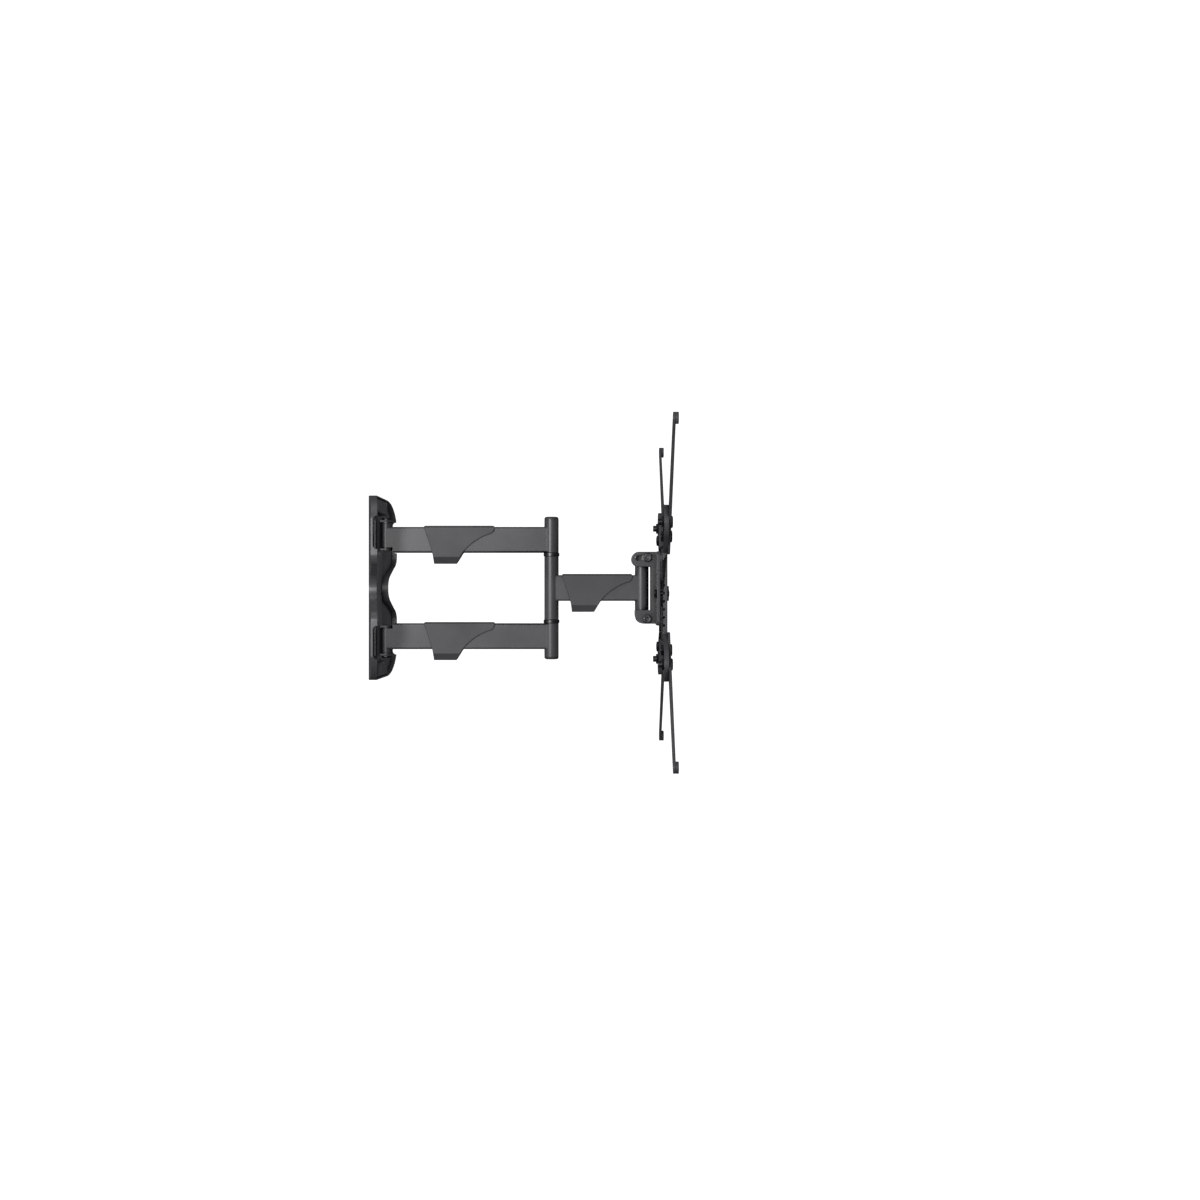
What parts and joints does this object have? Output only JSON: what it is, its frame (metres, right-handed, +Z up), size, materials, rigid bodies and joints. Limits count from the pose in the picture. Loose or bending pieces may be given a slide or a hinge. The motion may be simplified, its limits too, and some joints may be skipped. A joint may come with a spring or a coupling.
{
  "type": "tv wall mount",
  "caption": "Full-motion television wall mount: dished wall plate, parallel folding arms with cable covers, short forearm, and a swivelling, tilting head with diagonal television arms.",
  "frame": {"origin": "centre of the wall plate's back face, on the wall", "axes": "+Y into the wall, so the mount reaches out along -Y; +Z up; +X to the right for someone facing the wall"},
  "size_m": [0.414, 0.378, 0.414],
  "materials": {
    "black_steel": "satin black powder coat with a fine grain",
    "black_plastic": "fine matt moulded plastic",
    "dark_fasteners": "black zinc plate, slightly shiny",
    "black_nylon": "smooth nylon"
  },
  "bodies": {
    "wall_mount": {"wall_plate": "black_steel", "upper_hinge_bracket": "black_steel", "lower_hinge_bracket": "black_steel", "upper_bolt_cover": "black_plastic", "lower_bolt_cover": "black_plastic", "wall_hinge_bolts": "dark_fasteners", "wall_hinge_washers": "black_nylon"},
    "rear_arms": {"upper_arm": "black_steel", "lower_arm": "black_steel", "upper_cable_cover": "black_plastic", "lower_cable_cover": "black_plastic", "wall_hinge_bushes": "black_nylon", "elbow_bolt": "dark_fasteners", "elbow_nut": "dark_fasteners", "elbow_end_caps": "black_plastic"},
    "forearm_link": {"forearm": "black_steel", "forearm_cable_cover": "black_plastic", "elbow_bushes": "black_nylon", "head_bushes": "black_nylon"},
    "yoke": {"swivel_yoke": "black_steel", "swivel_pin": "dark_fasteners", "tilt_pivot_bolt": "dark_fasteners", "tilt_pivot_nut": "dark_fasteners", "tilt_lock_bolt": "dark_fasteners", "tilt_lock_nut": "dark_fasteners"},
    "tilt_head": {"tilt_bracket": "black_steel", "level_pivot_bolt": "dark_fasteners", "level_pivot_nut": "dark_fasteners", "level_washer": "black_nylon", "level_lock_bolts": "dark_fasteners", "level_lock_nuts": "dark_fasteners"},
    "tv_plate": {"vesa_plate": "black_steel", "tv_arm_upper_left": "black_steel", "tv_arm_upper_right": "black_steel", "tv_arm_lower_left": "black_steel", "tv_arm_lower_right": "black_steel", "tv_arm_bolts": "dark_fasteners", "tv_arm_nuts": "dark_fasteners", "tv_spacers": "black_plastic"}
  },
  "joints": [
    {"name": "arm_swing", "type": "hinge", "parent": "wall_mount", "child": "rear_arms", "pos_m": [0, -0.0155, 0], "axis": [0, 0, 1], "range_deg": [-80, 80]},
    {"name": "elbow_fold", "type": "hinge", "parent": "rear_arms", "child": "forearm_link", "pos_m": [0, -0.226, 0], "axis": [0, 0, -1], "range_deg": [-137, 137]},
    {"name": "head_swivel", "type": "hinge", "parent": "forearm_link", "child": "yoke", "pos_m": [0, -0.3414, 0], "axis": [0, 0, 1], "range_deg": [-90, 90]},
    {"name": "head_tilt", "type": "hinge", "parent": "yoke", "child": "tilt_head", "pos_m": [0, -0.348, -0.0394], "axis": [1, 0, 0], "range_deg": [-2, 9]},
    {"name": "head_level", "type": "hinge", "parent": "tilt_head", "child": "tv_plate", "pos_m": [0, -0.3715, -0.007], "axis": [0, 1, 0], "range_deg": [-3, 3]}
  ]
}
